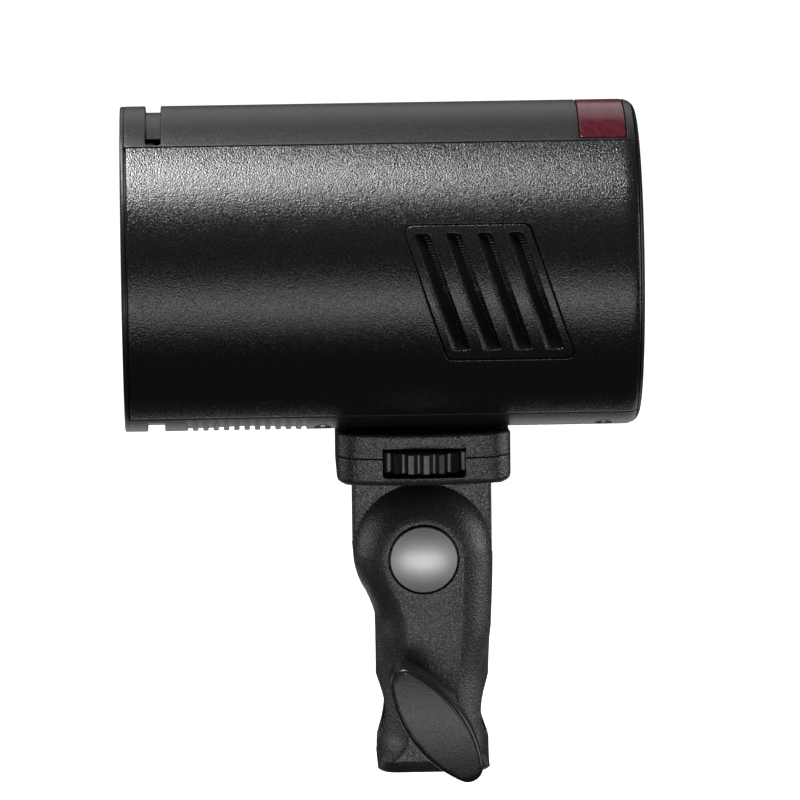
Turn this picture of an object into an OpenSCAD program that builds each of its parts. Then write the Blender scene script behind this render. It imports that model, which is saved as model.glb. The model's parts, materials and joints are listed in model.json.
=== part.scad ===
/* [Head] */
// Diameter of the round head
head_d = 76; // [75:0.5:78]
// Length of the head from the front bezel to the rear rim
head_l = 120; // [119:0.5:122]
// Wall thickness of the casings
wall = 2.4; // [2.2:0.1:2.6]
// Radius of the rounded rear edge
rear_round = 3.1; // [2.8:0.1:3.3]
// Half angle of the smooth top cover, measured from straight up
top_half_angle = 31.5; // [30:0.5:33]
// Half angle of the bottom cover, measured from straight down
bottom_half_angle = 34; // [32:0.5:35]

/* [Bracket] */
// Height of the tilt pivot above the foot
pivot_z = 51.9; // [51.5:0.1:53]
// Width of the grip across its two flat faces
grip_w = 28; // [27.5:0.5:28.5]
// Outer radius of the two tilt cheeks
cheek_r = 16.5; // [16.2:0.1:16.8]
// Length of the platform, front to rear
platform_l = 40.7; // [40:0.1:42]
// Number of ribs around the thumbwheel
wheel_ribs = 28; // [20:1:32]

/* [Stand sockets] */
// Wall radius of the upright socket for a 16 mm stud
socket_r = 8.1; // [8:0.05:8.2]
// Depth of the upright socket
socket_depth = 31; // [28:1:31]
// Wall radius of the level socket that crosses the grip
cross_r = 7.98; // [7.9:0.01:8.1]

/* [Knobs] */
// Length of the oval paddle on each knob
paddle_l = 32.5; // [31:0.5:36]
// Width of the oval paddle on each knob
paddle_w = 13.5; // [12:0.5:15]
// Angle of the stand knob's paddle at rest
paddle_angle = -55; // [-90:1:90]

/* [Hidden] */
$fn = 64;

// Colours
black_plastic = "#2a2a2c";
soft_black = "#1c1c1e";
dark_red = "#5a1a22";
board_green = "#1f5a3a";
steel = "#b8b8bc";
brass = "#b5924c";
silver = "#9a9a9e";

// Head frame: origin at the centre of the front face, +Y up, depth behind the front is -Z
head_r = head_d / 2;
inner_r = head_r - wall;
front_y = -71.3;
head_z = 119.5;
seam = 0.2;
bezel_d = 1.2;
casing_front = bezel_d + 0.15;
casing_rear = head_l - 1;
panel_flange = head_l - 0.8;
panel_face = head_l - 1.6;
panel_inner = head_l - 3.6;
panel_r = 32.8;
button_top = head_l - 1;
button_foot = head_l - 3.2;

// Accessory notches and vents
top_notch = [6.0, 9.5];
bottom_notch = [5.3, 9.3];
notch_floor = head_r - 1.5;
vent_start = 14.6;
vent_pitch = 2.41;
vent_slot = 1.16;
vent_count = 12;
vent_half = 20.3;
fan_s = 28.6;
fan_r = 13.2;
fan_top = -25;
fan_t = 6.5;

// Side grille: a leaning panel between two levels, with four leaning slots
grille_up = 15.7;
grille_top = [64.6, 93.4];
grille_bottom = [74.8, 104.0];
slot_up = 14.0;
slot_down = -13.4;
slot_top = [66.8, 70.6];
slot_bottom = [75.6, 79.9];
slot_pitch = 7.17;
slot_count = 4;

// Red sensor window
window_s = [106, 117];
window_half = 30.5;

// Flash tube
tube_r = 13.5;
tube_bore = 3;
tube_sweep = 320;

// Places of the controls on the rear panel, as x and height
dial_at = [0, -18.8];
dial_r = 10.2;
set_r = 4.6;
key_size = [8.4, 3.6];
key_up = -2.2;
key_x = [-15.6, -5.2, 5.2, 15.6];
test_at = [-19.5, -12.5];
test_r = 3.6;
lamp_at = [-17.5, -23];
lamp_r = 3;
switch_at = [19.5, -16.2];
switch_travel = 4;
switch_size = [4.2, 5.6];
display_at = [0, 14.5];
display_size = [36, 23];

// Battery bay on the left side
bay_s = [41.9, 112.1];
bay_up = 21.6;
pack_gap = 0.2;
pack_x = -11.2;
pack_wall = 1.5;
cell_r = 9.1;
cell_l = 65;
cell_x = -22.3;
cell_up = 9.6;
latch_s = [100.2, 105.8];
latch_up = 6.8;

// Service flap in the bottom cover
port_s = [97.1, 106.9];
port_x = 9.5;
port_skin = 1.5;

// Bracket
pivot_y = -2.1;
platform_y = -1.8;
platform_low = 70;
platform_seam = 76.6;
platform_top = 82.4;
platform_w = 34;
platform_bulge = 100;
wheel_r = 16.2;
wheel_z = [72.5, 77.5];
cavity_r = 16.7;
cavity_z = [72.2, 78.0];
wheel_window = [19.5, 71.9, 80.4];
screw_r = 3.12;
insert_r = 6.5;
insert_up = -31.5;
tongue_r = 16.35;
tongue_half = 5.4;
slot_half = 6.2;
bolt_r = 4;
running = 0.05;
cap_r = 7.83;
pocket_r = 8.4;
pocket_x = 9.5;
flank_r = 17;
flank_front = 3.6;
flank_rear = -3.4;
cross_z = 13.5;
relief_r = 8.6;
relief_z = [5, 22];
knob_z = 15.4;
shoe_x = 8.3;
shoe_r = 5;
shoe_t = 1.6;
nut_x = [10.2, 14];
knob_hub_x = 17.6;
knob_x = [20.5, 30];
lever_x = [-20, -29.5];

module in_head() {
  translate([0, front_y, head_z]) rotate([90, 0, 0]) children();
}

// A flat shape seen from the front, running from depth s0 to depth s1
module deep(s0, s1) {
  translate([0, 0, -s1]) linear_extrude(s1 - s0) children();
}

// A radius and depth profile, turned about the head's axis from angle a0 to a1
module turned(a0, a1) {
  rotate([0, 0, a0]) rotate_extrude(angle = a1 - a0) children();
}

// A shape in depth and height, run across the head from x0 to x1
module across(x0, x1) {
  translate([x0, 0, 0]) rotate([0, 90, 0]) rotate([0, 0, 90]) linear_extrude(x1 - x0) children();
}

// A box in the head frame, by its sides, its heights and its depths
module head_box(x, up, s) {
  translate([x[0], up[0], -s[1]]) cube([x[1] - x[0], up[1] - up[0], s[1] - s[0]]);
}

module ring(r1, r0) {
  difference() {
    circle(r1);
    circle(r0);
  }
}

module rounded_rect(w, h, r) {
  square([w - 2 * r, h], center = true);
  square([w, h - 2 * r], center = true);
  for (x = [-1, 1], y = [-1, 1]) translate([x * (w / 2 - r), y * (h / 2 - r)]) circle(r);
}

// Points along the rounded rear edge, as radius and negative depth
function rear_arc(s0, s1) =
  let(a0 = asin((s0 - head_l + rear_round) / rear_round), a1 = asin((s1 - head_l + rear_round) / rear_round))
  [for (i = [0:6]) let(a = a0 + (a1 - a0) * i / 6)
    [head_r - rear_round * (1 - cos(a)), -(head_l - rear_round + rear_round * sin(a))]];

module casing_profile() {
  polygon(concat(
    [[inner_r, -casing_front], [head_r, -casing_front]],
    rear_arc(head_l - rear_round, casing_rear),
    [[inner_r, -casing_rear]]
  ));
}

function grille_edge(grow) = [
  [-grille_top[0] + grow, grille_up + grow], [-grille_top[1] - grow, grille_up + grow],
  [-grille_bottom[1] - grow, -grille_up - grow], [-grille_bottom[0] + grow, -grille_up - grow]
];

module leaning_panel(x0, x1, points) {
  translate([x1, 0, 0]) rotate([0, -90, 0]) linear_extrude(x1 - x0) polygon(points);
}

module side_casing_right() {
  color(black_plastic) in_head() difference() {
    turned(-90 + bottom_half_angle + seam, 90 - top_half_angle - seam) casing_profile();
    leaning_panel(30, head_r + 1, grille_edge(0.25));
  }
}

module side_casing_left() {
  color(black_plastic) in_head() difference() {
    turned(90 + top_half_angle + seam, 270 - bottom_half_angle - seam) casing_profile();
    head_box([-head_r - 1, -25], [-bay_up, bay_up], bay_s);
  }
}

// An accessory notch: a shallow floor in the middle and a deep pocket at each end
module notch(s, middle) {
  floor_half = 24;
  pocket_half = 30.5;
  turned(middle - floor_half, middle + floor_half)
    translate([notch_floor, -s[1]]) square([3, s[1] - s[0]]);
  for (side = [-1, 1])
    rotate([0, 0, middle + side * (floor_half + pocket_half) / 2])
      turned(-(pocket_half - floor_half) / 2 - 0.1, (pocket_half - floor_half) / 2)
        translate([inner_r - 1, -s[1] - 0.3]) square([5, s[1] - s[0] + 0.5]);
}

module top_cover() {
  color(soft_black) in_head() difference() {
    turned(90 - top_half_angle, 90 + top_half_angle) casing_profile();
    notch(top_notch, 90);
    turned(90 - window_half, 90 + window_half)
      translate([inner_r - 1, -window_s[1]]) square([wall + 2, window_s[1] - window_s[0]]);
  }
}

module vent_slots(up, h) {
  for (i = [0:vent_count - 1])
    translate([0, up, -vent_start - vent_slot / 2 - i * vent_pitch]) rotate([-90, 0, 0])
      linear_extrude(h) rounded_rect(2 * vent_half, vent_slot, vent_slot / 2 - 0.02);
}

module bottom_cover() {
  channel_floor = head_r - 0.6;
  color(soft_black) in_head() difference() {
    turned(270 - bottom_half_angle, 270 + bottom_half_angle) casing_profile();
    notch(bottom_notch, 270);
    intersection() {
      vent_slots(-head_r - 2, 12);
      turned(265 - bottom_half_angle, 275 + bottom_half_angle)
        translate([channel_floor, -50]) square([4, 40]);
    }
    intersection() {
      vent_slots(-head_r - 2, 12);
      translate([0, -head_r - 2, -fan_s]) rotate([-90, 0, 0]) cylinder(r = fan_r - 0.4, h = 12);
    }
    translate([0, -head_r - 1, -(platform_y - front_y)]) rotate([-90, 0, 0])
      cylinder(r = insert_r, h = 6);
    head_box([-port_x - 0.2, port_x + 0.2], [-head_r - 1, -30], [port_s[0] - 0.2, port_s[1] + 0.2]);
    casing_screw_places() {
      cylinder(r = 2, h = 3.4, center = true);
      cylinder(r = 1.1, h = 20, center = true);
    }
  }
}

module sensor_window() {
  gap = 0.15;
  color(dark_red) in_head()
    turned(90 - window_half + gap, 90 + window_half - gap)
      translate([head_r - 1.8, -window_s[1] + gap])
        square([1.8, window_s[1] - window_s[0] - 2 * gap]);
}

module side_grille() {
  color(soft_black) in_head() difference() {
    intersection() {
      turned(-40, 40) translate([head_r - 2.8, -110]) square([2.8, 50]);
      leaning_panel(25, head_r + 2, grille_edge(0));
    }
    for (i = [0:slot_count - 1])
      translate([0, 0, -i * slot_pitch]) leaning_panel(25, head_r + 2, [
        [-slot_top[0], slot_up], [-slot_top[1], slot_up],
        [-slot_bottom[1], slot_down], [-slot_bottom[0], slot_down]
      ]);
  }
}

module grille_screen() {
  color(steel) in_head() intersection() {
    turned(-40, 40) translate([head_r - 3.4, -110]) square([0.5, 50]);
    leaning_panel(25, head_r + 2, grille_edge(-0.4));
  }
}

module front_bezel() {
  spigot_r = inner_r - 0.2;
  color(soft_black) in_head() turned(0, 360) polygon([
    [32.5, 0], [head_r - 0.4, 0], [head_r, -0.4], [head_r, -bezel_d], [spigot_r, -bezel_d],
    [spigot_r, -8], [33.5, -8], [33.5, -bezel_d], [32.5, -bezel_d]
  ]);
}

module front_glass() {
  color("#dfe6ea") in_head() deep(1.25, 4.2) circle(33.4);
}

module lamp_reflector() {
  color("silver") in_head() difference() {
    turned(0, 360) polygon([
      [33.3, -4.25], [24.2, -12.5], [20.5, -18.6], [8.6, -18.6], [8.6, -19.4], [21.0, -19.4],
      [24.9, -12.9], [33.4, -5.2]
    ]);
    tube_legs(2.5);
  }
}

module tube_legs(r) {
  for (a = [-90 + (360 - tube_sweep) / 2, -90 - (360 - tube_sweep) / 2])
    rotate([0, 0, a]) translate([tube_r, 0, -24]) cylinder(r = r, h = 11);
}

module flash_tube() {
  color("#e8eef2") in_head() {
    translate([0, 0, -13]) rotate([0, 0, -90 + (360 - tube_sweep) / 2])
      rotate_extrude(angle = tube_sweep) translate([tube_r, 0]) circle(tube_bore);
    tube_legs(2);
  }
}

module lamp_base() {
  color("ivory") in_head() difference() {
    deep(20.6, 25) circle(19);
    tube_legs(2);
  }
}

module led_board() {
  color(board_green) in_head() {
    deep(18.2, 19.2) circle(8.4);
    deep(19.2, 20.6) circle(7);
  }
}

module led_lens() {
  lens_r = 7;
  color("#f4f4e8") in_head() turned(0, 360) polygon(concat(
    [[0, -18.2]], [for (a = [0:15:90]) [lens_r * cos(a), -18.2 + lens_r * sin(a)]]
  ));
}

module rear_panel() {
  color(soft_black) in_head() difference() {
    turned(0, 360) polygon(concat(
      [[0, -panel_inner], [inner_r - 0.2, -panel_inner], [inner_r - 0.2, -panel_flange]],
      rear_arc(panel_flange, head_l),
      [[panel_r + 0.8, -head_l], [panel_r, -panel_face], [0, -panel_face]]
    ));
    deep(panel_inner - 1, head_l) {
      translate(dial_at) circle(dial_r + 0.2);
      for (x = key_x) translate([x, key_up]) rounded_rect(key_size[0] + 0.4, key_size[1] + 0.4, 1);
      translate(test_at) circle(test_r + 0.2);
      translate(lamp_at) circle(lamp_r + 0.2);
      translate(display_at) rounded_rect(display_size[0] - 3, display_size[1] - 3, 1);
    }
    deep(panel_face - 0.9, head_l) translate(display_at)
      rounded_rect(display_size[0] + 0.2, display_size[1] + 0.2, 1.6);
    deep(panel_face - 1.4, head_l) translate(switch_at + [0, switch_travel / 2])
      rounded_rect(switch_size[0] + 0.4, switch_size[1] + switch_travel + 0.6, 1);
  }
}

module display_window() {
  color("#101418") in_head() deep(panel_face - 0.9, panel_face) translate(display_at)
    rounded_rect(display_size[0], display_size[1], 1.5);
}

module lcd_module() {
  color("#3a4a5a") in_head() head_box([-17.5, 17.5], [3.5, 25], [114.9, 116.3]);
}

module flash_capacitors() {
  can_r = 12;
  color("#22262c") in_head() for (up = [-18, 18])
    translate([9, up, -106]) {
      cylinder(r = can_r, h = 56);
      for (x = [-4, 4]) translate([x, 0, -2]) cylinder(r = 0.6, h = 2);
    }
}

module charging_board() {
  color(board_green) in_head() {
    head_box([-7, 30], [-0.8, 0.8], [48, 107.5]);
    for (s = [54, 68, 82]) head_box([-5, 4], [0.8, 5.2], [s, s + 9]);
    for (s = [58, 76, 92]) head_box([14, 22], [0.8, 4.6], [s, s + 7]);
    for (s = [60, 84]) translate([25, 0.8, -s]) rotate([-90, 0, 0]) cylinder(r = 3.4, h = 4.4);
  }
}

module control_board() {
  color(board_green) in_head() {
    deep(113.2, 114.8) circle(34.5);
    for (x = key_x) translate([x, key_up, -115.6]) cylinder(r = 1.8, h = 0.8);
  }
}

module trigger_transformer() {
  color("#8a6a2a") in_head() {
    head_box([6, 18], [14, 26], [27, 29]);
    head_box([6, 18], [14, 26], [38.5, 40.5]);
    translate([12, 20, -38.5]) cylinder(r = 5, h = 9.5);
  }
}

module fan_frame() {
  half = 15;
  hub_seat = 5;
  color("#151515") in_head() difference() {
    translate([0, fan_top - fan_t, -fan_s]) rotate([-90, 0, 0]) difference() {
      linear_extrude(fan_t) square(2 * half, center = true);
      translate([0, 0, -1]) linear_extrude(fan_t) circle(fan_r);
      translate([0, 0, fan_t - 2]) linear_extrude(3) difference() {
        circle(fan_r);
        circle(hub_seat);
        for (a = [0, 120, 240]) rotate(a) translate([0, -1]) square([fan_r + 1, 2]);
      }
      cylinder(r = 1 + running, h = 2 * fan_t, center = true);
    }
  }
}

module fan_rotor() {
  hub_r = 5.5;
  blade_count = 7;
  color("#2c2c2c") in_head() translate([0, fan_top - fan_t + 0.3, -fan_s]) rotate([-90, 0, 0]) {
    cylinder(r = hub_r, h = 4.4);
    cylinder(r = 1, h = fan_t - 0.3);
    for (i = [0:blade_count - 1]) rotate([0, 0, i * 360 / blade_count])
      translate([hub_r - 0.5, 0, 2.2]) rotate([35, 0, 0]) translate([0, -0.4, -1.9]) cube([7, 0.8, 3.8]);
  }
}

module battery_contacts() {
  color(brass) in_head() for (up = [-6, 0, 6])
    head_box([pack_x + 0.1, -10.6], [up - 1.5, up + 1.5], [96, 104]);
}

module chassis_plate() {
  color("#3a3a3e") in_head() {
    head_box([-10.6, -9], [-28, 28], [44, 111]);
    for (up = [-28, 26.4]) head_box([-9, -4], [up, up + 1.6], [52, 60]);
  }
}

module battery_body(shrink) {
  intersection() {
    deep(bay_s[0] + pack_gap + shrink, bay_s[1] - pack_gap - shrink) circle(head_r - 0.05 - shrink);
    head_box([-head_r - 1, pack_x - pack_wall], [shrink - bay_up + pack_gap, bay_up - pack_gap - shrink],
      [30, 115]);
  }
}

module battery_shell() {
  color(black_plastic) in_head() difference() {
    battery_body(0);
    translate([1, 0, 0]) battery_body(pack_wall);
    battery_body(pack_wall);
    head_box([-head_r - 1, -30], [-latch_up - 0.2, latch_up + 0.2], [latch_s[0] - 0.2, latch_s[1] + 0.2]);
  }
}

module battery_lid() {
  color(black_plastic) in_head()
    head_box([pack_x - pack_wall, pack_x], [pack_gap - bay_up, bay_up - pack_gap],
      [bay_s[0] + pack_gap, bay_s[1] - pack_gap]);
}

module battery_cells() {
  color("#3a6a9a") in_head() for (up = [-cell_up, cell_up])
    translate([cell_x, up, -109.5]) {
      cylinder(r = cell_r, h = cell_l);
      cylinder(r = 3, h = cell_l + 0.8);
    }
}

module battery_latch() {
  color(dark_red) in_head() intersection() {
    deep(latch_s[0], latch_s[1]) ring(head_r + 0.2, head_r - 2.6);
    head_box([-head_r - 1, -25], [-latch_up, latch_up], [90, 110]);
  }
}

module mount_insert() {
  color(brass) in_head() translate([0, -head_r + 0.6, -(platform_y - front_y)]) rotate([-90, 0, 0])
    difference() {
      cylinder(r = insert_r, h = insert_up + head_r - 0.6);
      translate([0, 0, -1]) cylinder(r = screw_r + 0.08, h = 6.4);
    }
}

module port_sockets() {
  color("#4a4a4e") in_head() difference() {
    head_box([-8.8, 8.8], [-35, -30.6], [97.6, 106.4]);
    translate([-3.2, -36, -102]) rotate([-90, 0, 0]) linear_extrude(4) rounded_rect(8.9, 3.2, 1.5);
    translate([5.4, -36, -102]) rotate([-90, 0, 0]) cylinder(r = 1.3, h = 4);
  }
}

module casing_screw_places() {
  for (x = [-13, 13], s = [46, 111.5])
    translate([x, -sqrt(pow(head_r, 2) - x * x), -s]) rotate([-90, 0, 0]) children();
}

module casing_screws() {
  head_h = 1.3;
  color(steel) in_head() casing_screw_places() difference() {
    union() {
      translate([0, 0, 0.4]) cylinder(r = 1.95, h = head_h);
      cylinder(r = 1.05, h = 7.5);
    }
    translate([0, 0, -0.1]) cylinder(r = 0.8, h = 1.2, $fn = 6);
  }
}

module sensor_board() {
  color(board_green) in_head() {
    head_box([-8, 8], [33.2, 34.2], [106.8, 112.9]);
    translate([0, 34.2, -110]) rotate([-90, 0, 0]) cylinder(r = 2, h = 1.4);
  }
}

// Outline of the platform from above: bulged sides, straight ends, rounded corners
module platform_outline() {
  intersection() {
    translate([platform_w / 2 - platform_bulge, 0]) circle(platform_bulge, $fn = 360);
    translate([platform_bulge - platform_w / 2, 0]) circle(platform_bulge, $fn = 360);
    rounded_rect(platform_w, platform_l, 5);
  }
}

module platform_block(z0, z1) {
  translate([0, platform_y, z0]) linear_extrude(z1 - z0) platform_outline();
}

module wheel_space() {
  translate([0, platform_y, cavity_z[0]]) cylinder(r = cavity_r, h = cavity_z[1] - cavity_z[0]);
  for (side = [0, 180]) translate([0, platform_y, 0]) rotate([0, 0, side])
    translate([12, -wheel_window[0] / 2, wheel_window[1]])
      cube([8, wheel_window[0], wheel_window[2] - wheel_window[1]]);
}

module platform_screw_places() {
  for (x = [-11.5, 11.5], y = [-16.5, 16.5]) translate([x, platform_y + y, 0]) children();
}

module tongue_screw_places() {
  for (y = [-11, 11]) translate([0, pivot_y + y, 0]) children();
}

module platform_upper() {
  color(black_plastic) difference() {
    platform_block(platform_seam, platform_top);
    wheel_space();
    in_head() deep(40, 100) circle(head_r + 0.85);
    translate([0, platform_y, 70]) cylinder(r = screw_r + 0.5, h = 20);
    platform_screw_places() translate([0, 0, 70]) cylinder(r = 1.3, h = 9.5);
  }
}

module platform_lower() {
  color(black_plastic) difference() {
    platform_block(platform_low, platform_seam);
    wheel_space();
    platform_screw_places() {
      cylinder(r = 1.3, h = 90);
      translate([0, 0, platform_low - 1]) cylinder(r = 2.3, h = 2.4);
    }
    tongue_screw_places() {
      cylinder(r = 1.4, h = 90);
      translate([0, 0, 70.8]) cylinder(r = 2.5, h = 4);
    }
  }
}

module platform_pad() {
  color("#0e0e0e") difference() {
    in_head() intersection() {
      deep(51, 88) ring(head_r + 0.84, head_r + 0.05);
      head_box([-10, 10], [-40, -30], [40, 100]);
    }
    translate([0, platform_y, 70]) cylinder(r = screw_r + 0.5, h = 20);
  }
}

module platform_screws() {
  color(steel) {
    platform_screw_places() {
      translate([0, 0, platform_low]) cylinder(r = 2.3, h = 1.4);
      translate([0, 0, platform_low]) cylinder(r = 1.3, h = 9.4);
    }
    tongue_screw_places() {
      translate([0, 0, 70.8]) cylinder(r = 2.5, h = 1.4);
      translate([0, 0, 60]) cylinder(r = 1.4, h = 11);
    }
  }
}

// A flat shape in the side view, as distance to the rear and height, run across from x0 to x1
module side_view(x0, x1) {
  translate([x0, 0, 0]) rotate([90, 0, 90]) linear_extrude(x1 - x0) children();
}

module axle_bore(r, x0, x1) {
  translate([x0, pivot_y, pivot_z]) rotate([0, 90, 0]) cylinder(r = r, h = x1 - x0);
}

module tilt_tongue() {
  color(black_plastic) difference() {
    side_view(-tongue_half, tongue_half) {
      translate([pivot_y - tongue_r, pivot_z]) square([2 * tongue_r, platform_low - pivot_z]);
      translate([pivot_y, pivot_z]) circle(tongue_r);
    }
    axle_bore(bolt_r + running, -10, 10);
    tongue_screw_places() translate([0, 0, 60]) cylinder(r = 1.4, h = 20);
  }
}

module friction_washers() {
  color(steel) for (x = [-slot_half, tongue_half + running]) difference() {
    axle_bore(11, x, x + slot_half - tongue_half - running);
    axle_bore(bolt_r + running, x - 1, x + 2);
  }
}

// The crowned outside of a cheek, as radius and distance from the middle
function cheek_arc() =
  let(c = [6.3, 4], r = norm([cheek_r - 6.3, slot_half - 4]), a0 = asin((slot_half - 4) / r), a1 = asin(10 / r))
  [for (i = [0:7]) let(a = a0 + (a1 - a0) * i / 7) [c[0] + r * cos(a), c[1] + r * sin(a)]];

module cheek() {
  translate([0, pivot_y, pivot_z]) rotate([0, 90, 0]) rotate_extrude()
    polygon(concat([[0, slot_half]], cheek_arc(), [[0, grip_w / 2]]));
}

module grip_section() {
  intersection() {
    translate([0, flank_front]) circle(flank_r);
    translate([0, flank_rear]) circle(flank_r);
    square([grip_w, 60], center = true);
  }
}

module bracket_base() {
  slot_r = tongue_r + 0.35;
  web_x = 12;
  color(black_plastic) difference() {
    union() {
      linear_extrude(46) grip_section();
      cheek();
      mirror([1, 0, 0]) cheek();
      side_view(-web_x, web_x) polygon([
        [-18.4, 50], [-15.8, 42], [-13.2, 37], [-12.8, 30], [13.2, 30], [14.0, pivot_z], [-8, pivot_z]
      ]);
    }
    translate([0, 0, -1]) cylinder(r = socket_r, h = socket_depth + 1);
    translate([0, 0, relief_z[0]]) cylinder(r = relief_r, h = relief_z[1] - relief_z[0]);
    translate([0, 30, cross_z]) rotate([90, 0, 0]) cylinder(r = cross_r, h = 60);
    translate([5, 0, knob_z]) rotate([0, 90, 0]) cylinder(r = shoe_r + 0.4, h = nut_x[0] - 5);
    translate([nut_x[0], 0, knob_z]) rotate([0, 90, 0]) cylinder(r = 6, h = 10);
    side_view(-slot_half, slot_half)
      translate([pivot_y - 25, pivot_z - slot_r]) square([50, 60]);
    axle_bore(pocket_r, pocket_x, 20);
    axle_bore(bolt_r + running, -20, 20);
  }
}

module clamp_nut() {
  color(brass) difference() {
    translate([nut_x[0], 0, knob_z]) rotate([0, 90, 0]) cylinder(r = 6, h = nut_x[1] - nut_x[0]);
    translate([5, 0, knob_z]) rotate([0, 90, 0]) cylinder(r = bolt_r + running, h = 20);
  }
}

module pivot_bolt() {
  head_h = 3.4;
  tail_x = -25;
  color(steel) {
    axle_bore(bolt_r, tail_x, pocket_x + 1);
    translate([pocket_x, pivot_y, pivot_z]) rotate([0, 90, 0]) cylinder(r = 6.5, h = head_h, $fn = 6);
  }
}

module pivot_cap() {
  foot_x = 12.9;
  rim_x = 14.5;
  dome = 1.5;
  dome_r = (pow(cap_r, 2) + pow(dome, 2)) / (2 * dome);
  half_angle = asin(cap_r / dome_r);
  color(silver) translate([0, pivot_y, pivot_z]) rotate([0, 90, 0]) rotate_extrude()
    polygon(concat(
      [[0, foot_x], [cap_r, foot_x]],
      [for (i = [0:6]) let(a = half_angle * (1 - i / 6))
        [dome_r * sin(a), rim_x + dome - dome_r + dome_r * cos(a)]]
    ));
}

// A four-centred oval: two long side arcs and two small end arcs, all tangent
module oval(l, w) {
  end_r = w * 0.26;
  end_x = l / 2 - end_r;
  side_r = (pow(end_x, 2) + pow(w / 2, 2) - pow(end_r, 2)) / (w - 2 * end_r);
  side_y = side_r - w / 2;
  join_x = end_x * side_r / (side_r - end_r);
  intersection() {
    translate([0, side_y]) circle(side_r, $fn = 180);
    translate([0, -side_y]) circle(side_r, $fn = 180);
    square([2 * join_x, w + 1], center = true);
  }
  for (x = [-end_x, end_x]) translate([x, 0]) circle(end_r);
}

module stand_knob() {
  bore_x = 26;
  color(black_plastic) translate([0, 0, knob_z]) difference() {
    union() {
      rotate([paddle_angle, 0, 0]) side_view(knob_x[0], knob_x[1]) oval(paddle_l, paddle_w);
      translate([knob_hub_x, 0, 0]) rotate([0, 90, 0]) cylinder(r = 6.2, h = knob_x[0] - knob_hub_x + 1);
    }
    rotate([0, 90, 0]) cylinder(r = bolt_r, h = bore_x);
  }
}

module stand_screw() {
  neck = 0.8;
  color(steel) translate([0, 0, knob_z]) rotate([0, 90, 0]) {
    translate([0, 0, shoe_x + shoe_t + 0.1]) cylinder(r = bolt_r, h = 26 - shoe_x - shoe_t - 0.1);
    translate([0, 0, shoe_x + shoe_t - neck]) cylinder(r = 2, h = 2);
  }
}

module pressure_shoe() {
  color(brass) translate([shoe_x, 0, knob_z]) rotate([0, 90, 0]) difference() {
    cylinder(r = shoe_r, h = shoe_t);
    translate([0, 0, 0.7]) cylinder(r = 2 + running, h = shoe_t);
  }
}

module tilt_lever() {
  bore_x = -25.3;
  hub_x = -14.4;
  color(black_plastic) translate([0, pivot_y, pivot_z]) difference() {
    union() {
      rotate([paddle_angle, 0, 0]) side_view(lever_x[1], lever_x[0]) oval(paddle_l, paddle_w);
      translate([lever_x[0] - 1, 0, 0]) rotate([0, 90, 0]) cylinder(r = 7.4, h = hub_x - lever_x[0] + 1);
    }
    translate([bore_x, 0, 0]) rotate([0, 90, 0]) cylinder(r = bolt_r + running, h = 20);
  }
}

module thumbwheel() {
  color(soft_black) translate([0, platform_y, wheel_z[0]]) difference() {
    linear_extrude(wheel_z[1] - wheel_z[0]) difference() {
      circle(wheel_r);
      for (i = [0:wheel_ribs - 1]) rotate((i + 0.6) * 360 / wheel_ribs)
        translate([wheel_r + 0.25, 0]) circle(1.15);
    }
    translate([0, 0, -1]) cylinder(r = screw_r, h = 10);
  }
}

module mounting_screw() {
  screw_top = 86.5;
  color(steel) translate([0, platform_y, wheel_z[0]]) {
    cylinder(r = screw_r, h = screw_top - wheel_z[0]);
  }
}

module control_dial() {
  knurls = 36;
  color(soft_black) in_head() translate([dial_at[0], dial_at[1], 0]) deep(panel_inner + 0.2, head_l - 0.2)
    difference() {
      circle(dial_r);
      circle(set_r + 0.3);
      for (i = [0:knurls - 1]) rotate(i * 360 / knurls) translate([dial_r + 0.25, 0]) circle(0.45);
    }
}

module set_button() {
  color(black_plastic) in_head() translate([dial_at[0], dial_at[1], 0])
    deep(button_foot, button_top + 0.4) circle(set_r);
}

module key(i) {
  color(black_plastic) in_head() deep(button_foot, button_top) translate([key_x[i], key_up])
    rounded_rect(key_size[0], key_size[1], 0.9);
}

module menu_button() {
  key(0);
}

module group_button() {
  key(1);
}

module mode_button() {
  key(2);
}

module sync_button() {
  key(3);
}

module test_button() {
  color(black_plastic) in_head() translate([test_at[0], test_at[1], 0])
    deep(button_foot, button_top) circle(test_r);
}

module lamp_button() {
  color(black_plastic) in_head() translate([lamp_at[0], lamp_at[1], 0])
    deep(button_foot, button_top) circle(lamp_r);
}

module power_switch() {
  color(silver) in_head() translate([switch_at[0], switch_at[1], 0])
    deep(panel_face - 1.3, button_top + 0.3) rounded_rect(switch_size[0], switch_size[1], 0.9);
}

module port_cover() {
  color("#141414") in_head() intersection() {
    deep(port_s[0], port_s[1]) ring(head_r, head_r - port_skin);
    head_box([-port_x, port_x], [-head_r - 1, -30], [90, 110]);
  }
}

side_casing_right();
side_casing_left();
top_cover();
bottom_cover();
sensor_window();
side_grille();
grille_screen();
front_bezel();
front_glass();
lamp_reflector();
flash_tube();
lamp_base();
led_board();
led_lens();
rear_panel();
display_window();
lcd_module();
flash_capacitors();
charging_board();
control_board();
trigger_transformer();
fan_frame();
battery_contacts();
chassis_plate();
mount_insert();
port_sockets();
casing_screws();
sensor_board();
platform_upper();
platform_lower();
platform_pad();
platform_screws();
tilt_tongue();
control_dial();
set_button();
menu_button();
group_button();
mode_button();
sync_button();
test_button();
lamp_button();
power_switch();
fan_rotor();
port_cover();
battery_shell();
battery_lid();
battery_cells();
battery_latch();
thumbwheel();
mounting_screw();
bracket_base();
clamp_nut();
pivot_bolt();
pivot_cap();
friction_washers();
tilt_lever();
pressure_shoe();
stand_knob();
stand_screw();
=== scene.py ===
"""Looks for the monolight strobe: detailed pieces around the CAD frame, materials, stage and camera."""
import json
import math

import bmesh
import bpy
import numpy as np
from mathutils import Matrix, Vector
from mathutils.geometry import delaunay_2d_cdt


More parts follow.
